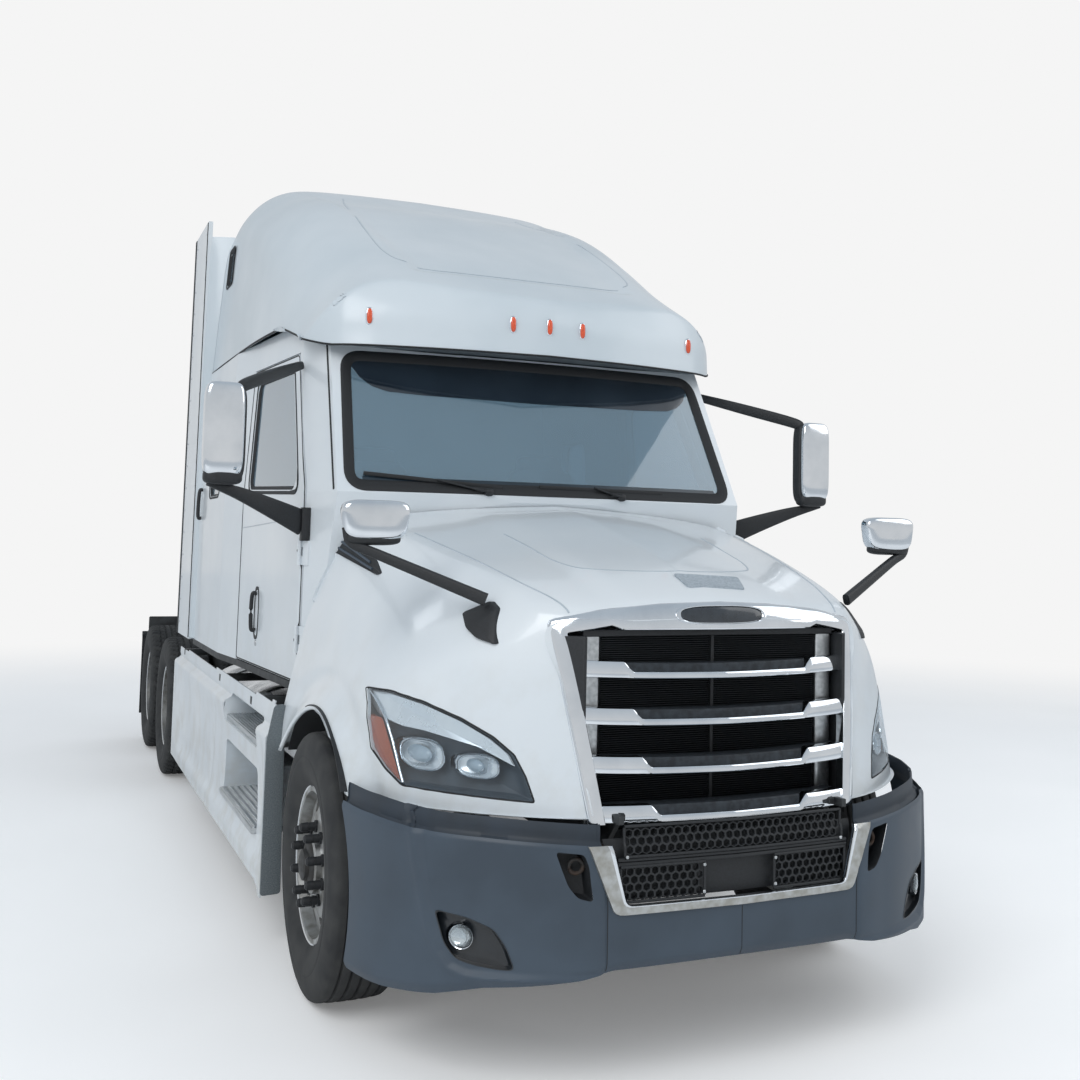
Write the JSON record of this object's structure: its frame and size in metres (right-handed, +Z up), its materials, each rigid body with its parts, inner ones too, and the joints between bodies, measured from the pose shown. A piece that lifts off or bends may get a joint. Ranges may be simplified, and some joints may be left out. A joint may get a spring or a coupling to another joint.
{
  "type": "semi truck tractor unit",
  "caption": "Conventional semi truck tractor unit with a raised-roof sleeper, aerodynamic fairings, tandem drive axles, tilting hood, opening doors, steered front wheels and a fifth wheel.",
  "frame": {"origin": "middle of the bounding box's underside, on the ground", "axes": "+Z up; the truck faces -Y, so +Y runs along it to the rear; +X is the vehicle's left"},
  "size_m": [3.12, 8.34, 3.9617],
  "materials": {
    "body_paint": "gloss white paint over moulded panels",
    "chassis_paint": "satin black chassis paint",
    "cast_block": "cast, painted grey",
    "radiator_core": "dark brazed fins",
    "polished_aluminium": "polished",
    "glazing": "clear with a slight tint",
    "bright_trim": "bright plated",
    "cabin_plastic": "grained",
    "upholstery": "woven",
    "bumper_plastic": "moulded in colour, fine grain",
    "flap_rubber": "matt",
    "lamp_lens": "clear lens",
    "tyre_rubber": "matt black",
    "plate_steel": "greased plate"
  },
  "bodies": {
    "chassis": {"frame": "chassis_paint", "axles": "chassis_paint", "suspension": "chassis_paint", "fifth_wheel_base": "chassis_paint", "engine_block": "cast_block", "radiator": "radiator_core", "fuel_tanks": "polished_aluminium", "cab_steps": "polished_aluminium", "deck_plate": "polished_aluminium", "cab_floor": "body_paint", "cab_front": "body_paint", "cab_sides": "body_paint", "cab_back": "body_paint", "roof_cap": "body_paint", "side_fairings": "body_paint", "side_extenders": "body_paint", "cab_glass": "glazing", "cab_mirrors": "bright_trim", "dashboard": "cabin_plastic", "steering_wheel": "cabin_plastic", "seats": "upholstery", "bunk": "upholstery", "bumper": "bumper_plastic", "bumper_grille": "bumper_plastic", "grille_trim": "bright_trim", "fog_lamps": "lamp_lens", "mud_flaps": "flap_rubber"},
    "hood": {"hood": "body_paint", "grille": "bright_trim", "hood_mirrors": "bright_trim", "headlamps": "lamp_lens"},
    "door_right": {"door_right": "body_paint", "door_glass_right": "glazing"},
    "knuckle_right": {"knuckle_right": "chassis_paint"},
    "front_wheel_right": {"front_tyre_right": "tyre_rubber", "front_rim_right": "polished_aluminium"},
    "front_drive_wheel_right": {"front_drive_tyres_right": "tyre_rubber", "front_drive_rims_right": "polished_aluminium"},
    "rear_drive_wheel_right": {"rear_drive_tyres_right": "tyre_rubber", "rear_drive_rims_right": "polished_aluminium"},
    "door_left": {"door_left": "body_paint", "door_glass_left": "glazing"},
    "knuckle_left": {"knuckle_left": "chassis_paint"},
    "front_wheel_left": {"front_tyre_left": "tyre_rubber", "front_rim_left": "polished_aluminium"},
    "front_drive_wheel_left": {"front_drive_tyres_left": "tyre_rubber", "front_drive_rims_left": "polished_aluminium"},
    "rear_drive_wheel_left": {"rear_drive_tyres_left": "tyre_rubber", "rear_drive_rims_left": "polished_aluminium"},
    "fifth_wheel": {"fifth_wheel": "plate_steel"}
  },
  "joints": [
    {"name": "steer_right", "type": "hinge", "parent": "chassis", "child": "knuckle_right", "pos_m": [-0.905, -2.88, 0.5], "axis": [0, 0, 1], "range_deg": [-35, 35]},
    {"name": "front_spin_right", "type": "hinge", "parent": "knuckle_right", "child": "front_wheel_right", "pos_m": [-1.04, -2.88, 0.5], "axis": [1, 0, 0], "continuous": true},
    {"name": "front_drive_spin_right", "type": "hinge", "parent": "chassis", "child": "front_drive_wheel_right", "pos_m": [-0.92, 2.073, 0.5], "axis": [1, 0, 0], "continuous": true},
    {"name": "rear_drive_spin_right", "type": "hinge", "parent": "chassis", "child": "rear_drive_wheel_right", "pos_m": [-0.92, 3.393, 0.5], "axis": [1, 0, 0], "continuous": true},
    {"name": "door_right_hinge", "type": "hinge", "parent": "chassis", "child": "door_right", "pos_m": [-1.098, -2.14, 1.8], "axis": [0, 0, 1], "range_deg": [0, 68]},
    {"name": "steer_left", "type": "hinge", "parent": "chassis", "child": "knuckle_left", "pos_m": [0.905, -2.88, 0.5], "axis": [0, 0, 1], "range_deg": [-35, 35]},
    {"name": "front_spin_left", "type": "hinge", "parent": "knuckle_left", "child": "front_wheel_left", "pos_m": [1.04, -2.88, 0.5], "axis": [1, 0, 0], "continuous": true},
    {"name": "front_drive_spin_left", "type": "hinge", "parent": "chassis", "child": "front_drive_wheel_left", "pos_m": [0.92, 2.073, 0.5], "axis": [1, 0, 0], "continuous": true},
    {"name": "rear_drive_spin_left", "type": "hinge", "parent": "chassis", "child": "rear_drive_wheel_left", "pos_m": [0.92, 3.393, 0.5], "axis": [1, 0, 0], "continuous": true},
    {"name": "door_left_hinge", "type": "hinge", "parent": "chassis", "child": "door_left", "pos_m": [1.098, -2.14, 1.8], "axis": [0, 0, -1], "range_deg": [0, 68]},
    {"name": "hood_tilt", "type": "hinge", "parent": "chassis", "child": "hood", "pos_m": [0, -4.065, 0.862], "axis": [1, 0, 0], "range_deg": [0, 62]},
    {"name": "fifth_wheel_tilt", "type": "hinge", "parent": "chassis", "child": "fifth_wheel", "pos_m": [0, 2.68, 1.13], "axis": [1, 0, 0], "range_deg": [-15, 15]}
  ],
  "couplings": [
    {"joint": "steer_right", "follows": "steer_left", "ratio": 1}
  ]
}
